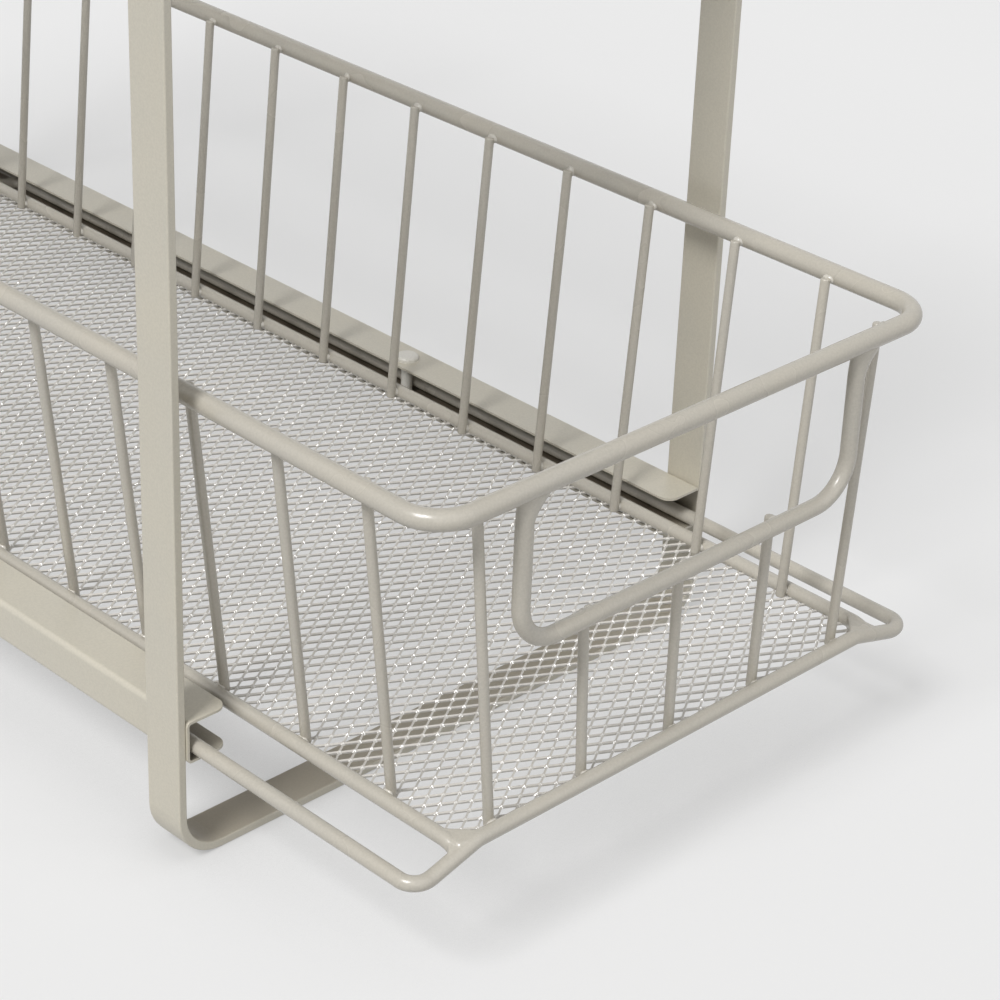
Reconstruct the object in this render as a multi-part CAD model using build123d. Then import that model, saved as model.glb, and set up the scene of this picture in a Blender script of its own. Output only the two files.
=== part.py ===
from build123d import *
import os
from math import hypot, sqrt

# Two-tier slide-out organizer for the cabinet under a sink.
# Millimetres. X runs across, Y from the front to the back, Z up.
# The origin is on the floor, under the middle of the front hoop.

# Frame hoops: flat strip bent into closed rounded rectangles
frame_width = 215.0
frame_height = 385.0
strip_width = 14.0
strip_thickness = 2.8
hoop_corner_radius = 15.0
strip_edge_round = 0.5

# Slide rails: open channels folded from sheet, one pair for each tier
rail_sheet = 0.8
rail_height = 13.5
rail_flange_width = 14.7
rail_fold_radius = 0.8
rail_nose_overhang = 0.6
rail_tail_overhang = 1.9
rail_flange_corner = 4.0
lower_rail_height = 33.5

# Gap between the upper basket's rim and the top strip of the hoops
upper_head_room = 7.0

# Stop pins: one through both flanges of each rail
pin_diameter = 4.0
pin_head_diameter = 8.0
pin_head_height = 1.6
pin_head_rim = 0.7
pin_setback = 121.0
pin_hole_clearance = 0.1
pin_runner_gap = 0.35

# Runner loop: the wire that slides in the rails
basket_depth = 446.0
runner_diameter = 4.5
runner_corner_radius = 5.0
runner_floor_gap = 0.85
runner_web_gap = 1.05
runner_end_gap = 0.3
runner_rise = 4.8
runner_ramp_inner = 23.1
runner_ramp_outer = 6.1
runner_ramp_bend = 8.0

# Basket walls
base_wire_diameter = 4.5
base_wire_inset = 16.8
base_wire_end = 0.6
basket_height = 100.0
basket_flare = 12.0
rim_diameter = 6.0
rim_corner_radius = 12.0
upright_diameter = 3.0
upright_end_round = 0.4
upright_below_base = 1.2
side_upright_above_rim = 0.0
end_upright_above_top = 1.0
side_upright_count = 12
side_upright_margin = 30.5
end_upright_count = 5
end_upright_base_margin = 13.8
end_upright_rim_margin = 17.8
weld_sink = 0.2

# Handle wire under the front of the rim
handle_diameter = 5.0
handle_inset = 18.8
handle_drop = 46.9
handle_corner_radius = 13.0

# Mesh floor: one diamond sheet, gaps counted across and along
mesh_thickness = 0.8
mesh_drop = 1.4
mesh_bite = 0.3
mesh_strand = 2.0
mesh_border = 2.5
mesh_gaps_across = 5
mesh_gaps_along = 24

# How far each basket stands forward: pushed in, and pulled out in the rest pose
closed_lead = 12.65
lower_pull = 82.0
upper_pull = 0.0

# Allowance by which a cut runs past the material
cut_overrun = 2.0

# Places that follow from the sizes above
strip_inner = frame_width / 2 - strip_thickness
web_inner = strip_inner - rail_sheet
runner_x = web_inner - runner_web_gap - runner_diameter / 2
runner_above_rail = rail_sheet + runner_floor_gap + runner_diameter / 2
base_above_rail = runner_above_rail + runner_rise
lower_rim_top = lower_rail_height + base_above_rail + basket_height + rim_diameter / 2
tier_spacing = frame_height - strip_thickness - upper_head_room - lower_rim_top
base_x = runner_x - base_wire_inset
rim_x = base_x + basket_flare
rail_front = -strip_width / 2 - rail_nose_overhang
rail_stop_face = basket_depth - closed_lead + runner_diameter / 2 + runner_end_gap
rail_back = rail_stop_face + rail_sheet
rear_hoop_y = rail_back - rail_tail_overhang - strip_width / 2
pin_x = runner_x - runner_diameter / 2 - pin_runner_gap - pin_diameter / 2

parts_folder = "parts"
side_signs = {"left": -1, "right": 1}
standing = (Align.CENTER, Align.CENTER, Align.MIN)


# Small helpers

def save(name, shape):
    export_step(shape, os.path.join(parts_folder, name + ".step"))


def on_side(shape, sign):
    """A shape modelled on the right, mirrored when it belongs on the left."""
    if sign < 0:
        return mirror(shape, about=Plane.YZ)
    return shape


def cross_plane(y):
    """The plane across the rails at a depth, drawn in X and Z, facing the front."""
    return Plane(origin=(0, y, 0), x_dir=(1, 0, 0), z_dir=(0, -1, 0))


def sweep_round(path, diameter):
    start = Plane(origin=path @ 0, z_dir=path % 0)
    return sweep(start * Circle(diameter / 2), path=path)


def straight_wire(start, end, diameter, end_round=0):
    start, end = Vector(start), Vector(end)
    run = end - start
    rod = Cylinder(diameter / 2, run.length, align=standing)
    if end_round:
        rod = fillet(rod.edges().filter_by(GeomType.CIRCLE), end_round)
    return Plane(origin=start, z_dir=run.normalized()) * rod


def closed_loop(half_path, diameter):
    """A ring of wire from the half of its path that runs on the right."""
    half = sweep_round(half_path, diameter)
    return half + mirror(half, about=Plane.YZ)


# Frame

def make_hoop(centre_y):
    outer = RectangleRounded(frame_width, frame_height, hoop_corner_radius)
    inner = RectangleRounded(
        frame_width - 2 * strip_thickness,
        frame_height - 2 * strip_thickness,
        hoop_corner_radius - strip_thickness,
    )
    hoop = extrude(Plane.XZ * (outer - inner), strip_width / 2, both=True)
    faces = hoop.faces().sort_by(Axis.Y)
    hoop = fillet(faces[0].edges() + faces[-1].edges(), strip_edge_round)
    return Pos(0, centre_y, frame_height / 2) * hoop


def make_rail(bottom):
    """The right rail whose lower flange lies on the given height."""
    outer_radius = rail_fold_radius + rail_sheet
    middle_x = strip_inner - rail_flange_width / 2
    profile = Pos(middle_x, bottom + rail_height / 2) * Rectangle(rail_flange_width, rail_height)
    profile = fillet(profile.vertices().sort_by(Axis.X)[-2:], outer_radius)
    hollow_width = rail_flange_width - rail_sheet + cut_overrun
    hollow_height = rail_height - 2 * rail_sheet
    hollow = Rectangle(hollow_width, hollow_height)
    hollow = Pos(web_inner - hollow_width / 2, bottom + rail_height / 2) * hollow
    hollow = fillet(hollow.vertices().sort_by(Axis.X)[-2:], rail_fold_radius)
    length = rail_stop_face - rail_front
    channel = extrude(cross_plane(rail_stop_face) * (profile - hollow), length)
    lip_x = strip_inner - rail_flange_width
    nose = channel.edges().filter_by(Axis.Z)
    nose = nose.filter_by_position(Axis.Y, rail_front - rail_sheet / 2, rail_front + rail_sheet / 2)
    nose = nose.filter_by_position(Axis.X, lip_x - rail_sheet / 2, lip_x + rail_sheet / 2)
    channel = fillet(nose, rail_flange_corner)
    stop_tab = extrude(cross_plane(rail_back) * profile, rail_sheet)
    hole = Cylinder((pin_diameter + pin_hole_clearance) / 2, rail_height + 2 * cut_overrun)
    return channel + stop_tab - Pos(pin_x, pin_setback, bottom + rail_height / 2) * hole


def make_stop_pin(bottom):
    """The right stop pin: a shank through both flanges under a domed head."""
    top = bottom + rail_height
    shank = Cylinder(pin_diameter / 2, rail_height + pin_head_rim, align=standing)
    head = Cylinder(pin_head_diameter / 2, pin_head_height, align=standing)
    head = fillet(head.edges().group_by(Axis.Z)[-1], pin_head_height - pin_head_rim)
    return Pos(pin_x, pin_setback, bottom) * shank + Pos(pin_x, pin_setback, top) * head


def make_frame():
    nodes = {"front_hoop": make_hoop(0), "rear_hoop": make_hoop(rear_hoop_y)}
    for tier, lift in (("lower", 0), ("upper", tier_spacing)):
        rail = make_rail(lower_rail_height + lift)
        pin = make_stop_pin(lower_rail_height + lift)
        for side, sign in side_signs.items():
            nodes[f"{tier}_{side}_rail"] = on_side(rail, sign)
            nodes[f"{tier}_{side}_stop_pin"] = on_side(pin, sign)
    return nodes


# Basket, with its front base wire at Y 0 and its base wires' centres at Z 0

def make_runner_loop():
    back = basket_depth
    ramp_top = runner_x - runner_ramp_inner
    ramp_foot = runner_x - runner_ramp_outer
    path = FilletPolyline(
        (0, 0, 0),
        (ramp_top, 0, 0),
        (ramp_foot, 0, -runner_rise),
        (runner_x, 0, -runner_rise),
        (runner_x, back, -runner_rise),
        (ramp_foot, back, -runner_rise),
        (ramp_top, back, 0),
        (0, back, 0),
        radius=[
            runner_ramp_bend,
            runner_ramp_bend,
            runner_corner_radius,
            runner_corner_radius,
            runner_ramp_bend,
            runner_ramp_bend,
        ],
    )
    return closed_loop(path, runner_diameter)


def make_rim():
    path = FilletPolyline(
        (0, 0, basket_height),
        (rim_x, 0, basket_height),
        (rim_x, basket_depth, basket_height),
        (0, basket_depth, basket_height),
        radius=rim_corner_radius,
    )
    return closed_loop(path, rim_diameter)


def make_handle(rim):
    """The handle wire, its two ends shaped to the underside of the rim."""
    handle_x = base_x - handle_inset
    low = basket_height - handle_drop
    path = FilletPolyline(
        (-handle_x, 0, basket_height),
        (-handle_x, 0, low),
        (handle_x, 0, low),
        (handle_x, 0, basket_height),
        radius=handle_corner_radius,
    )
    return sweep_round(path, handle_diameter) - rim


def make_base_wire(runner_loop):
    """The right base wire, its two ends rounded and melted into the runner loop."""
    front = (base_x, base_wire_end, 0)
    back = (base_x, basket_depth - base_wire_end, 0)
    wire = straight_wire(front, back, base_wire_diameter)
    for end in (front, back):
        wire += Pos(*end) * Sphere(base_wire_diameter / 2)
    return wire - runner_loop


def upright(low, high, below, above):
    """An upright wire through its two weld points, longer by its two end lengths."""
    low, high = Vector(low), Vector(high)
    along = (high - low).normalized()
    return straight_wire(low - along * below, high + along * above, upright_diameter, upright_end_round)


def side_uprights():
    seat_low = base_x - (base_wire_diameter + upright_diameter) / 2 + weld_sink
    seat_high = rim_x - (rim_diameter + upright_diameter) / 2 + weld_sink
    pitch = (basket_depth - 2 * side_upright_margin) / (side_upright_count - 1)
    wires = []
    for index in range(side_upright_count):
        y = side_upright_margin + index * pitch
        low = (seat_low, y, 0)
        high = (seat_high, y, basket_height)
        wires.append(upright(low, high, upright_below_base, side_upright_above_rim))
    return wires


def end_uprights(behind_handle):
    """The fanned wires of an end wall; those behind the handle stop at it."""
    seat_low = (runner_diameter + upright_diameter) / 2 - weld_sink
    seat_rim = (rim_diameter + upright_diameter) / 2 - weld_sink
    seat_handle = (handle_diameter + upright_diameter) / 2 - weld_sink
    base_reach = base_x - end_upright_base_margin
    rim_reach = rim_x - end_upright_rim_margin
    handle_share = (basket_height - handle_drop) / basket_height
    wires = []
    for index in range(end_upright_count):
        spread_share = 2 * index / (end_upright_count - 1) - 1
        low_x = spread_share * base_reach
        high_x = spread_share * rim_reach
        high = (high_x, seat_rim, basket_height)
        outermost = index in (0, end_upright_count - 1)
        if behind_handle and not outermost:
            handle_x = low_x + (high_x - low_x) * handle_share
            high = (handle_x, seat_handle, basket_height - handle_drop)
        low = (low_x, seat_low, 0)
        wires.append(upright(low, high, upright_below_base, end_upright_above_top))
    return wires


def wire_chord(diameter, offset):
    """Half the width of a round wire at an offset from its centre."""
    return sqrt((diameter / 2) ** 2 - offset**2)


def diamond_gap(centre_x, centre_y, half_x, half_y, reach_x, reach_y):
    """A diamond outline. Centred on the border it keeps its inner half, at a corner none of it."""
    points = [
        Vector(centre_x + half_x, centre_y),
        Vector(centre_x, centre_y + half_y),
        Vector(centre_x - half_x, centre_y),
        Vector(centre_x, centre_y - half_y),
    ]
    kept = [point for point in points if abs(point.X) < reach_x and abs(point.Y) < reach_y]
    if len(kept) < 3:
        return None
    return Wire.make_polygon(kept, close=True)


def make_mesh_floor():
    """One sheet with diamond gaps in staggered rows, its edges sunk into the wires."""
    half_width = base_x - wire_chord(base_wire_diameter, mesh_drop) + mesh_bite
    half_length = basket_depth / 2 - wire_chord(runner_diameter, mesh_drop) + mesh_bite
    outline = Wire.make_polygon(
        [
            Vector(-half_width, -half_length),
            Vector(half_width, -half_length),
            Vector(half_width, half_length),
            Vector(-half_width, half_length),
        ],
        close=True,
    )
    edge_x = half_width - mesh_border
    edge_y = half_length - mesh_border
    cell_x = 2 * edge_x / mesh_gaps_across
    cell_y = 2 * edge_y / mesh_gaps_along
    cell_depth = cell_x * cell_y / hypot(cell_x, cell_y)
    gap_share = 1 - mesh_strand / cell_depth
    half_x = cell_x / 2 * gap_share
    half_y = cell_y / 2 * gap_share
    gaps = []
    for row in range(2 * mesh_gaps_along + 1):
        shift = row % 2
        for column in range(mesh_gaps_across + 1 - shift):
            centre_x = -edge_x + (column + shift / 2) * cell_x
            centre_y = -edge_y + row * cell_y / 2
            gap = diamond_gap(centre_x, centre_y, half_x, half_y, edge_x + half_x / 2, edge_y + half_y / 2)
            if gap is not None:
                gaps.append(gap)
    sheet = Solid.extrude(Face(outline, gaps), Vector(0, 0, mesh_thickness))
    print("mesh floor gaps:", len(gaps))
    return Pos(0, basket_depth / 2, -mesh_drop - mesh_thickness / 2) * sheet


def make_basket():
    runner_loop = make_runner_loop()
    rim = make_rim()
    base_wire = make_base_wire(runner_loop)
    sides = side_uprights()
    front = end_uprights(behind_handle=True)
    rear = [mirror(wire, about=Plane.XZ) for wire in end_uprights(behind_handle=False)]
    nodes = {
        "runner_loop": runner_loop,
        "rim_wire": rim,
        "handle_wire": make_handle(rim),
        "mesh_floor": make_mesh_floor(),
        "front_upright_wires": Compound(front),
        "rear_upright_wires": Pos(0, basket_depth, 0) * Compound(rear),
    }
    for side, sign in side_signs.items():
        nodes[f"{side}_base_wire"] = on_side(base_wire, sign)
        nodes[f"{side}_upright_wires"] = Compound([on_side(wire, sign) for wire in sides])
    return nodes


# Assembly

def main():
    os.makedirs(parts_folder, exist_ok=True)
    for name, shape in make_frame().items():
        save(name, shape)
    basket = make_basket()
    for tier, lift, pull in (("lower", 0, lower_pull), ("upper", tier_spacing, upper_pull)):
        place = Pos(0, -closed_lead - pull, lower_rail_height + base_above_rail + lift)
        for name, shape in basket.items():
            save(f"{tier}_{name}", place * shape)


main()
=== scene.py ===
import random
from math import ceil, cos, pi, radians, sin, tan

import bpy
from mathutils import Euler, Matrix, Quaternion, Vector


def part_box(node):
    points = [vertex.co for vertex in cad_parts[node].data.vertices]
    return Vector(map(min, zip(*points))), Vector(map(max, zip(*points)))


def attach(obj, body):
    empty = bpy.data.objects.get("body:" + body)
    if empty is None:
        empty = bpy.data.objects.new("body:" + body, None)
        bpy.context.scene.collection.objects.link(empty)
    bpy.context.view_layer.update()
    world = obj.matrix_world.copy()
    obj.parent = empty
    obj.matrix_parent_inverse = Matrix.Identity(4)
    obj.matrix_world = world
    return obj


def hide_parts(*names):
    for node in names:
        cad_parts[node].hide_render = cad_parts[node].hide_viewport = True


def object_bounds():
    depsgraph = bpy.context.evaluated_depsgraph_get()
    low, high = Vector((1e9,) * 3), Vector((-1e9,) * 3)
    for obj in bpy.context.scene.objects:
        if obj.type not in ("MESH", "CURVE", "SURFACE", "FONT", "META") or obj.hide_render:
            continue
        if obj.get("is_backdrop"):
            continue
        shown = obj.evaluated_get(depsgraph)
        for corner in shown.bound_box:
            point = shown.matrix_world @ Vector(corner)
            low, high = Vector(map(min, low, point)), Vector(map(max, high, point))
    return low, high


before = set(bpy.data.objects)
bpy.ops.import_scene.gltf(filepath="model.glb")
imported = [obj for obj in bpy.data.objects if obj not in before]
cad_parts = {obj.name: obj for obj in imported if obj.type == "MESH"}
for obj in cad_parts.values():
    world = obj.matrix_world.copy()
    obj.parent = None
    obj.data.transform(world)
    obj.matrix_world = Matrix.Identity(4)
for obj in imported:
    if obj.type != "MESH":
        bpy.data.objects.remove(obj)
cad_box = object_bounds()

# Metres, as the frame is. X runs across, Y to the back, Z up.
MM = 0.001
TIERS = ("lower", "upper")
SIDES = {"left": -1, "right": 1}
X_AXIS = Vector((1, 0, 0))
Y_AXIS = Vector((0, 1, 0))
Z_AXIS = Vector((0, 0, 1))

# Camera: place, aim and lens of the photograph
camera_place = Vector((-0.5292, -0.5441, 0.4941))
camera_azimuth = radians(-45.355)
camera_elevation = radians(28.779)
camera_roll = radians(2.298)
camera_lens = 106.22
camera_sensor = 36.0

# Light: a soft key from the left, a broad lamp from the front and a pale surround
key_azimuth = radians(-82)
key_elevation = radians(50)
key_strength = 2.33
key_spread = radians(21)
front_azimuth = radians(-5)
front_elevation = radians(30)
front_strength = 0.8
front_spread = radians(90)
surround_strength = 0.27

# Floor and backdrop, as greys to the eye, and the floor's grey to bounced light
floor_grey = 0.83
floor_bounce_grey = 0.5
backdrop_grey = 0.86
backdrop_share = 0.5
floor_roughness = 0.9
floor_sheen = 0.1
floor_size = 12.0
floor_drop = 0.1 * MM

# Painted shade on the floor close to the part, by the share of open sky over each spot
floor_shade_reach = 60 * MM
floor_shade_grey = 0.85
floor_shade_stops = (0.56, 0.8)

# Powder coat: faint clouds, speckle and grain, each with the stops of its ramp
cloud_scale = 22.0
cloud_stops = (0.25, 0.75)
cloud_warm_shares = (1.03, 1.02, 1.0)
cloud_cool_shares = (0.965, 0.97, 0.98)
gloss_stops = (0.15, 0.85)
grain_scale = 900.0
fine_grain = 1300.0
grain_depth = 0.1 * MM
speckle_per_grain = 1.6
speckle_stops = (0.35, 0.65)
speckle_low = 0.955
speckle_high = 1.03
ambient_samples = 8
# Painted shade in the frame's recesses and channels: a warm dark tint, full where the part's own
# surfaces close over a spot
frame_painted_shade_reach = 16 * MM
painted_recess_shade_tint = (0.15, 0.115, 0.085, 1)
painted_recess_shade_stops = (0.3, 0.92)

# Dim upper side of the hoops' bottom strips, full up to the first height and gone at the second
foot_shade_tint = (0.67, 0.64, 0.61, 1)
foot_shade_heights = (4 * MM, 11 * MM)
foot_facing_stops = (0.2, 0.95)

# Wire bending and welding
arc_step = radians(6)
wire_sides = 24
thin_wire_sides = 18
dome_steps = 5
dome_tip_share = 0.02
upright_radius = 1.5 * MM
upright_end_round = 0.5 * MM
upright_below_base = 1.2 * MM
side_upright_above_rim = 0.0 * MM
right_upright_setback = (1.0 * MM, 4.2 * MM)
end_upright_above_top = 1.0 * MM
front_upright_trims = (1.9 * MM, 1.5 * MM, 1.7 * MM, 0.0, 0.0)
side_upright_count = 12
end_upright_count = 5
end_upright_base_margin = 13.8 * MM
end_upright_rim_margin = 17.8 * MM
weld_sink = 0.2 * MM
rim_corner_radius = 12 * MM
handle_corner_radius = 13 * MM
handle_flare_height = 6.8 * MM
handle_flare_width = 5.7 * MM
handle_flare_power = 1.65
handle_flare_steps = 10
handle_sink_share = 0.4
runner_corner_radius = 5 * MM
runner_ramp_inner = 23.1 * MM
runner_ramp_outer = 6.1 * MM
runner_ramp_bend = 7 * MM
base_wire_dip = 5 * MM
base_wire_dip_bend = 9 * MM

# Melted corners where the base wires end on the runner loop
melt_grain = 0.3 * MM
melt_passes = 24
melt_factor = 0.5
melt_slack = 0.04 * MM
web_inner_reach = 8.6 * MM
web_outer_reach = 2.2 * MM
web_half_height = 2.25 * MM
web_corner_lift = 0.8 * MM
stub_length = 13 * MM

# Weld beads: half sizes across, along and up, and how far they sit from the weld's middle
side_base_bead = (1.0 * MM, 1.9 * MM, 1.5 * MM)
side_rim_bead = (1.1 * MM, 1.9 * MM, 1.5 * MM)
end_bead = (1.9 * MM, 1.0 * MM, 1.5 * MM)
side_base_bead_lift = 0.4 * MM
side_rim_bead_drop = 0.6 * MM
end_bead_lift = 0.2 * MM
bead_sides = 12
bead_rows = 7
bead_size_shares = (0.85, 1.2)
bead_lean = 0.3
bead_wobble = 0.06

# Diamond mesh of the floors
diamond_length = 7.65 * MM
diamond_width = 4.87 * MM
diamond_skew = tan(radians(1.9))
strand_width = 0.66 * MM
strand_height = 0.7 * MM
strand_tilt = radians(24)
knot_length = 0.8 * MM
mesh_edge_gap = 0.9 * MM
clip_tolerance = 1e-9

# Nubs on the mesh's knots: a foot wider than its reach and a small flat top
knot_sides = 4
knot_reach = 0.3 * MM
knot_slope = radians(50)
knot_turn = radians(209)
knot_lean = 0.13
knot_scatter = knot_length / 3
knot_presence = 1.0
knot_foot_share = 2.0
knot_top_share = 0.2
knot_top_height_share = 0.8


def link(obj):
    bpy.context.scene.collection.objects.link(obj)
    return obj


# Materials

def nodes_of(material):
    material.use_nodes = True
    return material.node_tree


def add_node(tree, kind, **inputs):
    node = tree.nodes.new(kind)
    for name, value in inputs.items():
        node.inputs[name.replace("_", " ")].default_value = value
    return node


def ramp_between(tree, factor, low, high, stops=(0.0, 1.0)):
    """A colour ramp from low to high between two stops."""
    ramp = tree.nodes.new("ShaderNodeValToRGB")
    for end, stop, colour in zip(ramp.color_ramp.elements, stops, (low, high)):
        end.position, end.color = stop, colour
    tree.links.new(factor, ramp.inputs["Fac"])
    return ramp.outputs["Color"]


def grey(level):
    return (level, level, level, 1)


def tinted(colour, shares):
    return tuple(part * share for part, share in zip(colour, shares)) + (1,)


def multiplied(tree, first, second):
    mix = tree.nodes.new("ShaderNodeMix")
    mix.data_type = "RGBA"
    mix.blend_type = "MULTIPLY"
    mix.inputs["Factor"].default_value = 1.0
    tree.links.new(first, mix.inputs["A"])
    tree.links.new(second, mix.inputs["B"])
    return mix.outputs["Result"]


def foot_shade(tree, place):
    """Dim on the upper side of the strips on the floor, over which the baskets hang."""
    height = tree.nodes.new("ShaderNodeSeparateXYZ")
    facing = tree.nodes.new("ShaderNodeSeparateXYZ")
    tree.links.new(place.outputs["Object"], height.inputs[0])
    tree.links.new(place.outputs["Normal"], facing.inputs[0])
    low = ramp_between(tree, height.outputs["Z"], grey(1), grey(0), foot_shade_heights)
    upward = ramp_between(tree, facing.outputs["Z"], grey(0), grey(1), foot_facing_stops)
    return ramp_between(tree, multiplied(tree, low, upward), grey(1), foot_shade_tint)


def noise(tree, place, scale, detail, roughness):
    texture = add_node(tree, "ShaderNodeTexNoise", Scale=scale, Detail=detail, Roughness=roughness)
    tree.links.new(place.outputs["Object"], texture.inputs["Vector"])
    return texture.outputs["Fac"]


def powder_coat(name, colour, gloss, grain=grain_scale, bump=0.12, sheen=0.5, painted_shade_reach=0.0):
    """Satin powder coat: faint clouds of colour, fine grain, orange-peel bump; with a reach given,
    painted shade in recesses and on the upper side of the strips on the floor.
    """
    material = bpy.data.materials.new(name)
    tree = nodes_of(material)
    shader = tree.nodes["Principled BSDF"]
    shader.inputs["Specular IOR Level"].default_value = sheen
    place = tree.nodes.new("ShaderNodeTexCoord")

    clouds = noise(tree, place, cloud_scale, detail=3.0, roughness=0.55)
    speckle = noise(tree, place, grain * speckle_per_grain, detail=2.0, roughness=0.6)
    peel = noise(tree, place, grain, detail=2.0, roughness=0.5)

    cool, warm = tinted(colour, cloud_cool_shares), tinted(colour, cloud_warm_shares)
    tint = ramp_between(tree, clouds, cool, warm, cloud_stops)
    dust = ramp_between(tree, speckle, grey(speckle_low), grey(speckle_high), speckle_stops)
    paint = multiplied(tree, tint, dust)
    # Painted shade: darker in the part's own recesses and on the upper side of the strips on the floor
    # under the baskets
    if painted_shade_reach:
        inside = add_node(tree, "ShaderNodeAmbientOcclusion", Distance=painted_shade_reach)
        inside.only_local = True
        inside.samples = ambient_samples
        painted_shade = ramp_between(tree, inside.outputs["AO"], painted_recess_shade_tint, grey(1), painted_recess_shade_stops)
        paint = multiplied(tree, multiplied(tree, paint, painted_shade), foot_shade(tree, place))
    tree.links.new(paint, shader.inputs["Base Color"])

    low, high = [grey(level) for level in gloss]
    roughness = ramp_between(tree, clouds, low, high, gloss_stops)
    tree.links.new(roughness, shader.inputs["Roughness"])

    relief = add_node(tree, "ShaderNodeBump", Strength=bump, Distance=grain_depth)
    tree.links.new(peel, relief.inputs["Height"])
    tree.links.new(relief.outputs["Normal"], shader.inputs["Normal"])
    return material


def seen_share(tree):
    """One for camera, mirror and glass rays, zero for light that bounces."""
    ray = tree.nodes.new("ShaderNodeLightPath")
    seen = ray.outputs["Is Camera Ray"]
    for kind in ("Is Glossy Ray", "Is Transmission Ray"):
        either = tree.nodes.new("ShaderNodeMath")
        either.operation = "MAXIMUM"
        tree.links.new(seen, either.inputs[0])
        tree.links.new(ray.outputs[kind], either.inputs[1])
        seen = either.outputs[0]
    return seen


def pale_floor():
    """Pale to the eye with the object's shadow and a painted shade near the part on it, a plain grey to
    the light that it bounces.
    """
    material = bpy.data.materials.new("pale_floor")
    tree = nodes_of(material)
    seen = seen_share(tree)
    # Painted shade: floor and backdrop darker where less open sky is over a spot
    open_sky = add_node(tree, "ShaderNodeAmbientOcclusion", Distance=floor_shade_reach)
    open_sky.samples = ambient_samples
    open_share = open_sky.outputs["AO"]
    painted_shade = ramp_between(tree, open_share, grey(floor_shade_grey), grey(1), floor_shade_stops)

    shader = tree.nodes["Principled BSDF"]
    tint = ramp_between(tree, seen, grey(floor_bounce_grey), grey(floor_grey))
    tree.links.new(multiplied(tree, tint, painted_shade), shader.inputs["Base Color"])
    shader.inputs["Roughness"].default_value = floor_roughness
    shader.inputs["Specular IOR Level"].default_value = floor_sheen

    backdrop = tree.nodes.new("ShaderNodeEmission")
    dim_backdrop = grey(backdrop_grey * floor_shade_grey)
    tone = ramp_between(tree, open_share, dim_backdrop, grey(backdrop_grey), floor_shade_stops)
    tree.links.new(tone, backdrop.inputs["Color"])

    share = tree.nodes.new("ShaderNodeMath")
    share.operation = "MULTIPLY"
    share.inputs[1].default_value = backdrop_share
    tree.links.new(seen, share.inputs[0])
    blend = tree.nodes.new("ShaderNodeMixShader")
    tree.links.new(share.outputs[0], blend.inputs[0])
    tree.links.new(shader.outputs[0], blend.inputs[1])
    tree.links.new(backdrop.outputs[0], blend.inputs[2])
    tree.links.new(blend.outputs[0], tree.nodes["Material Output"].inputs["Surface"])
    return material


# The frame coat carries painted shade in its recesses and on the strips under the baskets
FRAME_COAT = powder_coat(
    "frame_coat", (0.588, 0.553, 0.463), gloss=(0.32, 0.44), sheen=1.0, painted_shade_reach=frame_painted_shade_reach
)
WIRE_COAT = powder_coat("wire_coat", (0.502, 0.472, 0.41), gloss=(0.2, 0.32), sheen=0.75)
MESH_COAT = powder_coat("mesh_coat", (0.611, 0.589, 0.551), gloss=(0.24, 0.36), bump=0.2)
# Paler than the mesh coat: a painted highlight for the glints on the mesh's knots; its low roughness
# gives real glints as well
KNOT_GLINT_COAT = powder_coat("knot_glint_coat", (0.85, 0.84, 0.82), gloss=(0.08, 0.16), grain=fine_grain, bump=0.02)
# Paler than the wire coat: a painted highlight for the glints on the welds; its low roughness gives real
# glints as well
WELD_GLINT_COAT = powder_coat("weld_glint_coat", (0.6, 0.575, 0.52), gloss=(0.12, 0.22), grain=fine_grain, bump=0.2)
# Paler than the frame coat: a painted highlight for the lit heads of the stop pins
PIN_HIGHLIGHT_COAT = powder_coat("pin_highlight_coat", (0.72, 0.7, 0.64), gloss=(0.22, 0.34), sheen=0.9)


# Mesh building

class Builder:
    """Collects points and faces of one piece."""

    def __init__(self):
        self.points = []
        self.faces = []

    def ring(self, centre, side, up, half_side, half_up, count):
        start = len(self.points)
        for index in range(count):
            turn = 2 * pi * index / count
            self.points.append(centre + side * (half_side * cos(turn)) + up * (half_up * sin(turn)))
        return start

    def join(self, first, second, count):
        for index in range(count):
            after = (index + 1) % count
            self.faces.append((first + index, first + after, second + after, second + index))

    def cap(self, ring, count, reverse=False):
        face = tuple(range(ring, ring + count))
        self.faces.append(face[::-1] if reverse else face)

    def piece(self, name, material, smooth=True):
        mesh = bpy.data.meshes.new(name)
        mesh.from_pydata([tuple(point) for point in self.points], [], self.faces)
        mesh.materials.append(material)
        mesh.polygons.foreach_set("use_smooth", [smooth] * len(mesh.polygons))
        mesh.validate()
        mesh.update()
        return mesh


def bent_path(corners, radii, closed=False):
    """Points of straight runs whose corners are arcs."""
    corners = [Vector(corner) for corner in corners]
    points = []
    for index, corner in enumerate(corners):
        if not closed and index in (0, len(corners) - 1):
            points.append(corner)
            continue
        radius = radii[index] if isinstance(radii, (list, tuple)) else radii
        back = (corners[index - 1] - corner).normalized()
        ahead = (corners[(index + 1) % len(corners)] - corner).normalized()
        opening = back.angle(ahead)
        turn = pi - opening
        centre = corner + (back + ahead).normalized() * (radius / sin(opening / 2))
        start = corner + back * (radius * tan(turn / 2)) - centre
        axis = back.cross(ahead).normalized()
        steps = max(2, ceil(turn / arc_step))
        for step in range(steps + 1):
            points.append(centre + Quaternion(axis, -turn * step / steps) @ start)
    return points


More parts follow.
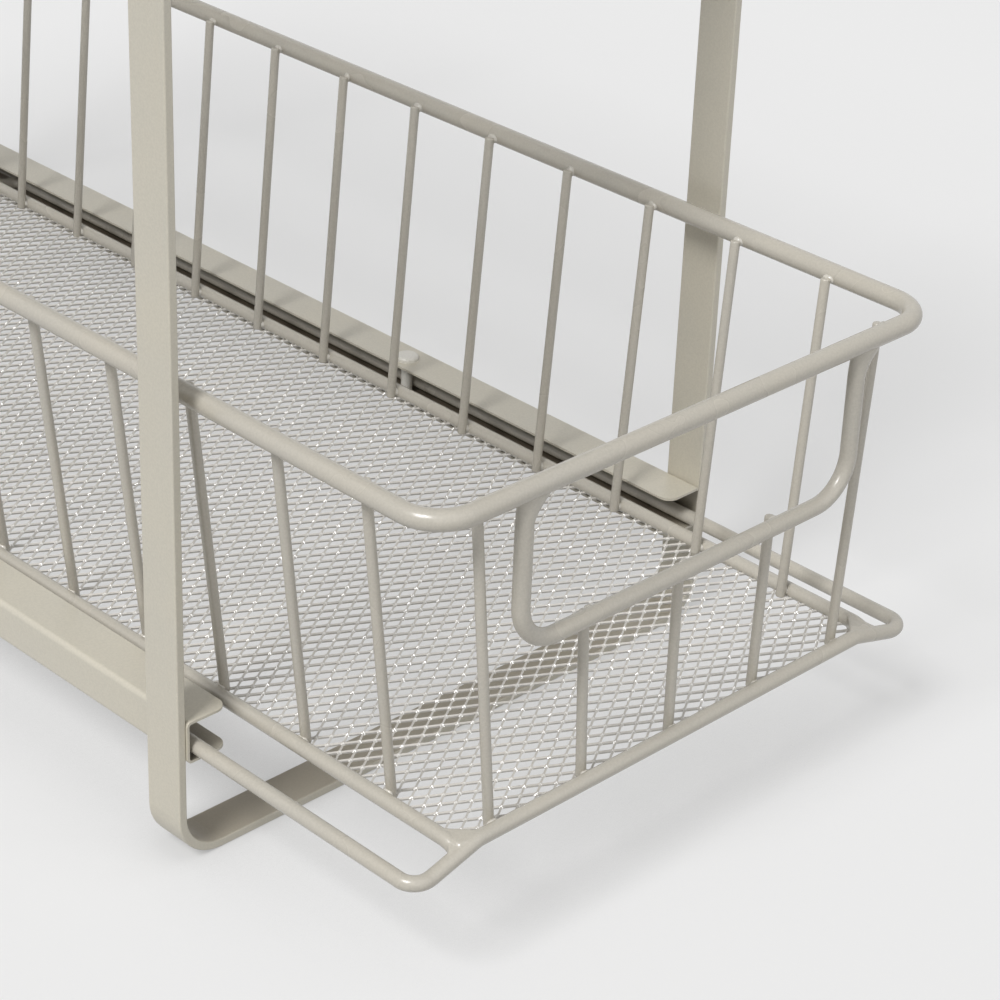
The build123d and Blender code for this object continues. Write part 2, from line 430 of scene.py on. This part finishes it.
def rounded_ends(path, radius, end_round):
    """The path with extra points near its ends, and the radius at each point."""
    first, last = path[0], path[-1]
    into_start = (path[1] - first).normalized()
    into_end = (path[-2] - last).normalized()
    heads, tails, radii = [], [], []
    for step in range(dome_steps):
        angle = pi / 2 * step / dome_steps
        depth = end_round * (1 - cos(angle))
        heads.append(first + into_start * depth)
        tails.append(last + into_end * depth)
        tip = radius * dome_tip_share if step == 0 else 0
        radii.append(radius - end_round * (1 - sin(angle)) + tip)
    heads.append(first + into_start * end_round)
    tails.append(last + into_end * end_round)
    radii.append(radius)
    inner = path[1:-1]
    return heads + inner + tails[::-1], radii + [radius] * len(inner) + radii[::-1]


def tube(builder, path, radius, reference, closed=False, end_round=0.0, sides=wire_sides, web=None):
    """A round wire along a path, with a web to its +X side where one is asked for.

    The reference is a direction that no run of the path follows.
    """
    radii = [radius] * len(path)
    if end_round:
        path, radii = rounded_ends(path, radius, end_round)
    count = len(path)
    rings = []
    for index, point in enumerate(path):
        before = path[index - 1] if closed or index else point
        after = path[(index + 1) % count] if closed or index < count - 1 else point
        along = (after - before).normalized()
        side = along.cross(reference).normalized()
        up = side.cross(along)
        wider = web(point) / 2 if web else 0.0
        centre = point + X_AXIS * wider
        rings.append(builder.ring(centre, side, up, radii[index] + wider, radii[index], sides))
    for first, second in zip(rings, rings[1:]):
        builder.join(first, second, sides)
    if closed:
        builder.join(rings[-1], rings[0], sides)
    else:
        builder.cap(rings[0], sides, reverse=True)
        builder.cap(rings[-1], sides)


def bead(builder, centre, sizes, chance):
    """A small weld bead: an uneven ellipsoid."""
    sizes = Vector([size * chance.uniform(*bead_size_shares) for size in sizes])
    axis = Vector((chance.uniform(-1, 1), chance.uniform(-1, 1), 1)).normalized()
    lean = Quaternion(axis, chance.uniform(-bead_lean, bead_lean))
    rings = []
    for row in range(1, bead_rows):
        height = pi * row / bead_rows
        rings.append(len(builder.points))
        for index in range(bead_sides):
            turn = 2 * pi * index / bead_sides
            wobble = 1 + chance.uniform(-bead_wobble, bead_wobble)
            shape = Vector((sin(height) * cos(turn), sin(height) * sin(turn), cos(height))) * wobble
            builder.points.append(Vector(centre) + lean @ (shape * sizes))
    for first, second in zip(rings, rings[1:]):
        for index in range(bead_sides):
            after = (index + 1) % bead_sides
            builder.faces.append((first + index, second + index, second + after, first + after))
    builder.cap(rings[0], bead_sides)
    builder.cap(rings[-1], bead_sides, reverse=True)


# Sizes read from the frame; a basket is drawn with its front base wire at Y 0 and its base wires at Z 0

def middle(node):
    low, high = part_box(node)
    return (low + high) / 2


def size_of(node):
    low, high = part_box(node)
    return high - low


wire_radius = size_of("lower_right_base_wire").x / 2
rim_radius = size_of("lower_rim_wire").z / 2
handle_radius = size_of("lower_handle_wire").y / 2
basket_depth = size_of("lower_runner_loop").y - 2 * wire_radius
runner_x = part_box("lower_runner_loop")[1].x - wire_radius
runner_rise = size_of("lower_runner_loop").z - 2 * wire_radius
base_x = middle("lower_right_base_wire").x
rim_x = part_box("lower_rim_wire")[1].x - rim_radius
basket_height = middle("lower_rim_wire").z - middle("lower_right_base_wire").z
handle_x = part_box("lower_handle_wire")[1].x - handle_radius
handle_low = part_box("lower_handle_wire")[0].z + handle_radius - middle("lower_right_base_wire").z
mesh_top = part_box("lower_mesh_floor")[1].z - middle("lower_right_base_wire").z
side_upright_margin = (basket_depth - size_of("lower_right_upright_wires").y) / 2 + upright_radius


def basket_place(tier):
    """Where a basket's own origin stands in the frame."""
    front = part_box(tier + "_runner_loop")[0].y + wire_radius
    return Vector((0, front, middle(tier + "_right_base_wire").z))


# Basket pieces

def runner_loop():
    ramp_top = runner_x - runner_ramp_inner
    ramp_foot = runner_x - runner_ramp_outer
    half = [
        (ramp_top, 0, 0),
        (ramp_foot, 0, -runner_rise),
        (runner_x, 0, -runner_rise),
        (runner_x, basket_depth, -runner_rise),
        (ramp_foot, basket_depth, -runner_rise),
        (ramp_top, basket_depth, 0),
    ]
    other = [(-x, y, z) for x, y, z in half[::-1]]
    bends = [runner_ramp_bend, runner_ramp_bend, runner_corner_radius]
    bends = bends + bends[::-1]
    builder = Builder()
    tube(builder, bent_path(half + other, bends + bends, closed=True), wire_radius, Z_AXIS, closed=True)
    return builder


def rim_wire():
    corners = [
        (-rim_x, 0, basket_height),
        (rim_x, 0, basket_height),
        (rim_x, basket_depth, basket_height),
        (-rim_x, basket_depth, basket_height),
    ]
    builder = Builder()
    tube(builder, bent_path(corners, rim_corner_radius, closed=True), rim_radius, Z_AXIS, closed=True)
    return builder


def handle_wire():
    """A U of wire whose two ends have a filled corner to the rim on their +X side."""
    flare_foot = basket_height - rim_radius - handle_flare_height
    heights = [basket_height - rim_radius * handle_sink_share]
    for step in range(handle_flare_steps, -1, -1):
        heights.append(flare_foot + handle_flare_height * step / handle_flare_steps)
    corners = [(-handle_x, 0, heights[-1]), (-handle_x, 0, handle_low)]
    corners = corners + [(-x, y, z) for x, y, z in corners[::-1]]
    path = [Vector((-handle_x, 0, height)) for height in heights[:-1]]
    path += bent_path(corners, handle_corner_radius)
    path += [Vector((handle_x, 0, height)) for height in heights[-2::-1]]

    def web(point):
        rise_share = min(1.0, max(0.0, (point.z - flare_foot) / handle_flare_height))
        return handle_flare_width * rise_share**handle_flare_power

    builder = Builder()
    tube(builder, path, handle_radius, Y_AXIS, web=web)
    return builder


def ramp_height(x):
    """Height of the runner loop's centre line at a distance to the side of the middle."""
    into_ramp = abs(x) - (runner_x - runner_ramp_inner)
    return -runner_rise * into_ramp / (runner_ramp_inner - runner_ramp_outer)


def base_wire(sign):
    """A wire whose two ends dip onto the ramps of the runner loop."""
    x = sign * base_x
    end_height = ramp_height(base_x)
    corners = [
        (x, 0, end_height),
        (x, base_wire_dip, 0),
        (x, basket_depth - base_wire_dip, 0),
        (x, basket_depth, end_height),
    ]
    builder = Builder()
    tube(builder, bent_path(corners, base_wire_dip_bend), wire_radius, X_AXIS, end_round=wire_radius)
    return builder


def upright(builder, low, high, below, above, reference):
    low, high = Vector(low), Vector(high)
    along = (high - low).normalized()
    path = [low - along * below, high + along * above]
    tube(builder, path, upright_radius, reference, end_round=upright_end_round, sides=thin_wire_sides)


def side_places(sign):
    """Where the wires of a side wall stand, at the bottom and the top. The right ones lean back."""
    pitch = (basket_depth - 2 * side_upright_margin) / (side_upright_count - 1)
    low_back, high_back = right_upright_setback if sign > 0 else (0.0, 0.0)
    places = [side_upright_margin + index * pitch for index in range(side_upright_count)]
    return [(y + low_back, y + high_back) for y in places]


def side_uprights(sign):
    seat_low = sign * (base_x - wire_radius - upright_radius + weld_sink)
    seat_high = sign * (rim_x - rim_radius - upright_radius + weld_sink)
    builder = Builder()
    for low_y, high_y in side_places(sign):
        low = (seat_low, low_y, 0)
        high = (seat_high, high_y, basket_height)
        upright(builder, low, high, upright_below_base, side_upright_above_rim, Y_AXIS)
    return builder


def end_places(behind_handle):
    """The weld points of the wires of an end wall, low and high, counted inwards from the wall."""
    seat_low = wire_radius + upright_radius - weld_sink
    seat_rim = rim_radius + upright_radius - weld_sink
    seat_handle = handle_radius + upright_radius - weld_sink
    base_reach = base_x - end_upright_base_margin
    rim_reach = rim_x - end_upright_rim_margin
    handle_share = handle_low / basket_height
    places = []
    for index in range(end_upright_count):
        spread = 2 * index / (end_upright_count - 1) - 1
        low = Vector((spread * base_reach, seat_low, 0))
        high = Vector((spread * rim_reach, seat_rim, basket_height))
        if behind_handle and 0 < index < end_upright_count - 1:
            high = Vector((low.x + (high.x - low.x) * handle_share, seat_handle, handle_low))
        places.append((low, high))
    return places


def end_uprights(front):
    builder = Builder()
    for (low, high), trim in zip(end_places(front), front_upright_trims):
        above = end_upright_above_top - (trim if front else 0.0)
        if not front:
            low, high = [Vector((p.x, basket_depth - p.y, p.z)) for p in (low, high)]
        upright(builder, low, high, upright_below_base, above, X_AXIS)
    return builder


def clipped_runs(points, half_width, front, back):
    """The stretches of a zigzag that lie inside the mesh's edges."""
    runs, run = [], []
    for start, end in zip(points, points[1:]):
        enters, leaves = 0.0, 1.0
        span = end - start
        sides = ((start.x, span.x, -half_width, half_width), (start.y, span.y, front, back))
        for value, step, low, high in sides:
            if abs(step) < clip_tolerance:
                if not low <= value <= high:
                    enters, leaves = 1.0, 0.0
                continue
            bounds = sorted(((low - value) / step, (high - value) / step))
            enters, leaves = max(enters, bounds[0]), min(leaves, bounds[1])
        if enters >= leaves:
            if run:
                runs.append(run)
            run = []
            continue
        if not run or enters > 0:
            if run:
                runs.append(run)
            run = [start + span * enters]
        run.append(start + span * leaves)
        if leaves < 1:
            runs.append(run)
            run = []
    if run:
        runs.append(run)
    return runs


def diamond_mesh():
    """Expanded metal: zigzag strands in rows that touch at their knots."""
    half_width = base_x - wire_radius + mesh_edge_gap
    front = wire_radius - mesh_edge_gap
    back = basket_depth - front
    height = mesh_top - strand_height / 2
    half_length = diamond_length / 2
    row_pitch = diamond_width / 2
    columns = ceil(half_width / half_length) + 1
    skew_room = half_width * abs(diamond_skew) + diamond_width
    first_row = -ceil(skew_room / row_pitch)
    last_row = ceil((back + skew_room) / row_pitch)
    half_y = strand_width / 2
    half_z = strand_height / 2
    section = []
    for y, z in ((-half_y, -half_z), (half_y, -half_z), (half_y, half_z), (-half_y, half_z)):
        turned_y = y * cos(strand_tilt) - z * sin(strand_tilt)
        turned_z = y * sin(strand_tilt) + z * cos(strand_tilt)
        section.append(Vector((0, turned_y, turned_z)))
    corner_count = len(section)
    builder = Builder()
    for row in range(first_row, last_row + 1):
        low = row * row_pitch + half_y
        high = (row + 1) * row_pitch - half_y
        points = []
        for column in range(-columns, columns + 1):
            y = low if (column + row) % 2 == 0 else high
            for shift in (-knot_length / 2, knot_length / 2):
                x = column * half_length + shift
                points.append(Vector((x, y + x * diamond_skew, height)))
        for run in clipped_runs(points, half_width, front, back):
            if len(run) < 2 or (run[-1] - run[0]).length < strand_width:
                continue
            rings = []
            for point in run:
                rings.append(len(builder.points))
                builder.points += [point + corner for corner in section]
            for first, second in zip(rings, rings[1:]):
                builder.join(first, second, corner_count)
            builder.cap(rings[0], corner_count, reverse=True)
            builder.cap(rings[-1], corner_count)
    return builder


def weld_beads():
    """A bead at every place where an upright or the handle meets a thicker wire."""
    chance = random.Random(11)
    builder = Builder()
    for sign in SIDES.values():
        low_x = sign * (base_x - wire_radius + weld_sink / 2)
        high_x = sign * (rim_x - rim_radius + weld_sink / 2)
        for low_y, high_y in side_places(sign):
            bead(builder, (low_x, low_y, side_base_bead_lift), side_base_bead, chance)
            bead(builder, (high_x, high_y, basket_height - side_rim_bead_drop), side_rim_bead, chance)
    for front in (True, False):
        for ends in end_places(front):
            for point in ends:
                y = point.y - upright_radius + weld_sink / 2
                y = y if front else basket_depth - y
                bead(builder, (point.x, y, point.z + end_bead_lift), end_bead, chance)
    return builder


def wedge(builder, outline, low, high):
    """A flat prism between two heights; the heights may differ from point to point."""
    start = len(builder.points)
    count = len(outline)
    for heights in (low, high):
        for (x, y), z in zip(outline, heights):
            builder.points.append(Vector((x, y, z)))
    builder.join(start, start + count, count)
    builder.cap(start, count, reverse=True)
    builder.cap(start + count, count)


def melted(builder):
    """The shapes of a builder fused into one skin whose inner corners are filled."""
    rough = link(bpy.data.objects.new("melt", builder.piece("melt", WIRE_COAT)))
    fuse = rough.modifiers.new("fuse", "REMESH")
    fuse.mode = "VOXEL"
    fuse.voxel_size = melt_grain
    soften = rough.modifiers.new("soften", "SMOOTH")
    soften.factor = melt_factor
    soften.iterations = melt_passes
    ready = rough.evaluated_get(bpy.context.evaluated_depsgraph_get())
    mesh = bpy.data.meshes.new_from_object(ready)
    bpy.data.objects.remove(rough)
    return mesh


def corner_welds():
    """Webs that fill the corners between the base wires and the runner loop."""
    radius = wire_radius - melt_slack
    ramp_top = runner_x - runner_ramp_inner
    ramp_foot = runner_x - runner_ramp_outer
    at_base = ramp_height(base_x)
    rough = Builder()
    cross = [(ramp_top - stub_length / 2, 0, 0), (ramp_top, 0, 0), (ramp_foot, 0, -runner_rise)]
    tube(rough, bent_path(cross, runner_ramp_bend), radius, Y_AXIS, end_round=radius)
    along = [(base_x, 0, at_base), (base_x, base_wire_dip, 0), (base_x, stub_length, 0)]
    tube(rough, bent_path(along, base_wire_dip_bend), radius, X_AXIS, end_round=radius)

    inner = [(base_x, 0), (base_x, web_inner_reach), (base_x - web_inner_reach, 0)]
    middles = [at_base, 0, 0]
    low = [height - web_half_height for height in middles]
    high = [height + web_half_height for height in middles]
    high[0] += web_corner_lift
    wedge(rough, inner, low, high)

    reach = wire_radius + web_outer_reach
    outer = [(base_x, 0), (base_x + reach, 0), (base_x, reach)]
    middles = [at_base, ramp_height(base_x + reach), 0]
    low = [height - web_half_height for height in middles]
    high = [height + web_half_height for height in middles]
    wedge(rough, outer, low, high)

    corner = melted(rough)
    builder = Builder()
    for sign in SIDES.values():
        for front in (True, False):
            start = len(builder.points)
            for vertex in corner.vertices:
                x, y, z = vertex.co
                builder.points.append(Vector((sign * x, y if front else basket_depth - y, z)))
            turned = (sign > 0) == front
            for face in corner.polygons:
                corners = tuple(start + index for index in face.vertices)
                builder.faces.append(corners if turned else corners[::-1])
    return builder


def knot(builder, centre, chance):
    """A nub with a cut top, leaning a little to some side."""
    lean = Euler([chance.uniform(-knot_lean, knot_lean) for axis in range(3)])
    tall = knot_reach * tan(knot_slope)
    rings = []
    for height, share in ((-tall, knot_foot_share), (tall * knot_top_height_share, knot_top_share)):
        rings.append(len(builder.points))
        for index in range(knot_sides):
            turn = knot_turn + 2 * pi * (index + 0.5) / knot_sides
            reach = knot_reach * share / cos(pi / knot_sides)
            corner = Vector((reach * cos(turn), reach * sin(turn), height))
            corner.rotate(lean)
            builder.points.append(centre + corner)
    builder.join(rings[0], rings[1], knot_sides)
    builder.cap(rings[0], knot_sides, reverse=True)
    builder.cap(rings[1], knot_sides)


def mesh_knots():
    """Nubs on the knots of the mesh, where the strands of two rows touch."""
    chance = random.Random(23)
    half_width = base_x - wire_radius
    half_length = diamond_length / 2
    row_pitch = diamond_width / 2
    columns = int(half_width / half_length)
    rows = ceil(basket_depth / row_pitch)
    skew_rows = ceil(half_width * diamond_skew / row_pitch)
    builder = Builder()
    for row in range(-skew_rows, rows + skew_rows):
        for column in range(-columns, columns + 1):
            x = column * half_length
            y = row * row_pitch + x * diamond_skew
            if (column + row) % 2 or not wire_radius < y < basket_depth - wire_radius:
                continue
            if chance.random() > knot_presence:
                continue
            knot_x = x + chance.uniform(-1, 1) * knot_scatter
            knot(builder, Vector((knot_x, y - strand_width / 4, mesh_top)), chance)
    return builder


BASKET_PIECES = {
    "runner_loop": (runner_loop, WIRE_COAT, "wire_finish"),
    "rim_wire": (rim_wire, WIRE_COAT, "wire_finish"),
    "handle_wire": (handle_wire, WIRE_COAT, "wire_finish"),
    "left_base_wire": (lambda: base_wire(-1), WIRE_COAT, "wire_finish"),
    "right_base_wire": (lambda: base_wire(1), WIRE_COAT, "wire_finish"),
    "left_upright_wires": (lambda: side_uprights(-1), WIRE_COAT, "wire_finish"),
    "right_upright_wires": (lambda: side_uprights(1), WIRE_COAT, "wire_finish"),
    "front_upright_wires": (lambda: end_uprights(True), WIRE_COAT, "wire_finish"),
    "rear_upright_wires": (lambda: end_uprights(False), WIRE_COAT, "wire_finish"),
    "mesh_floor": (diamond_mesh, MESH_COAT, "mesh_finish"),
}
BASKET_TRIM = {
    "weld_beads": (weld_beads, WELD_GLINT_COAT, "wire_finish"),
    "corner_welds": (corner_welds, WIRE_COAT, "wire_finish"),
    "mesh_knots": (mesh_knots, KNOT_GLINT_COAT, "mesh_finish"),
}
FACETED = ("mesh_floor", "mesh_knots")


def make_baskets():
    for name, (make, coat, finish) in {**BASKET_PIECES, **BASKET_TRIM}.items():
        mesh = make().piece("basket_" + name, coat, smooth=name not in FACETED)
        for tier in TIERS:
            piece = link(bpy.data.objects.new(f"{tier}_{name}_piece", mesh))
            piece.location = basket_place(tier)
            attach(piece, tier + "_basket")
            if name in BASKET_PIECES:
                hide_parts(f"{tier}_{name}")


def dress_frame():
    """The hoops, rails and pins keep their solids and take their coats."""
    for name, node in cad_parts.items():
        node.data.materials.clear()
        node.data.materials.append(PIN_HIGHLIGHT_COAT if "stop_pin" in name else FRAME_COAT)


# Stage

def make_stage():
    half = floor_size / 2
    mesh = bpy.data.meshes.new("floor")
    corners = [(-half, -half, 0), (half, -half, 0), (half, half, 0), (-half, half, 0)]
    mesh.from_pydata(corners, [], [(0, 1, 2, 3)])
    mesh.materials.append(pale_floor())
    floor = link(bpy.data.objects.new("floor", mesh))
    floor.location.z = -floor_drop
    floor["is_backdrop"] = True


def make_lamp(name, azimuth, elevation, strength, spread):
    lamp = bpy.data.lights.new(name, "SUN")
    lamp.energy = strength
    lamp.angle = spread
    across = cos(elevation)
    towards = Vector((sin(azimuth) * across, -cos(azimuth) * across, sin(elevation)))
    lamp_object = link(bpy.data.objects.new(name, lamp))
    lamp_object.rotation_euler = (-towards).to_track_quat("-Z", "Y").to_euler()


def make_light():
    scene = bpy.context.scene
    scene.view_settings.view_transform = "Standard"
    world = bpy.data.worlds.new("surround")
    world.use_nodes = True
    tree = world.node_tree
    level = ramp_between(tree, seen_share(tree), grey(surround_strength), grey(backdrop_grey))
    tree.links.new(level, tree.nodes["Background"].inputs["Color"])
    scene.world = world
    make_lamp("key", key_azimuth, key_elevation, key_strength, key_spread)
    make_lamp("front", front_azimuth, front_elevation, front_strength, front_spread)


def make_camera():
    data = bpy.data.cameras.new("camera")
    data.lens = camera_lens
    data.sensor_width = camera_sensor
    camera = link(bpy.data.objects.new("camera", data))
    tilt = Euler((radians(90) - camera_elevation, 0, camera_azimuth)).to_matrix()
    roll = Matrix.Rotation(camera_roll, 3, "Z")
    camera.matrix_world = Matrix.Translation(camera_place) @ (tilt @ roll).to_4x4()
    bpy.context.scene.camera = camera


def write_sizes():
    boxes = {"cad": cad_box, "visual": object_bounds()}
    boxes = {name: [list(corner) for corner in box] for name, box in boxes.items()}


make_camera()
make_light()
make_stage()
make_baskets()
dress_frame()
write_sizes()
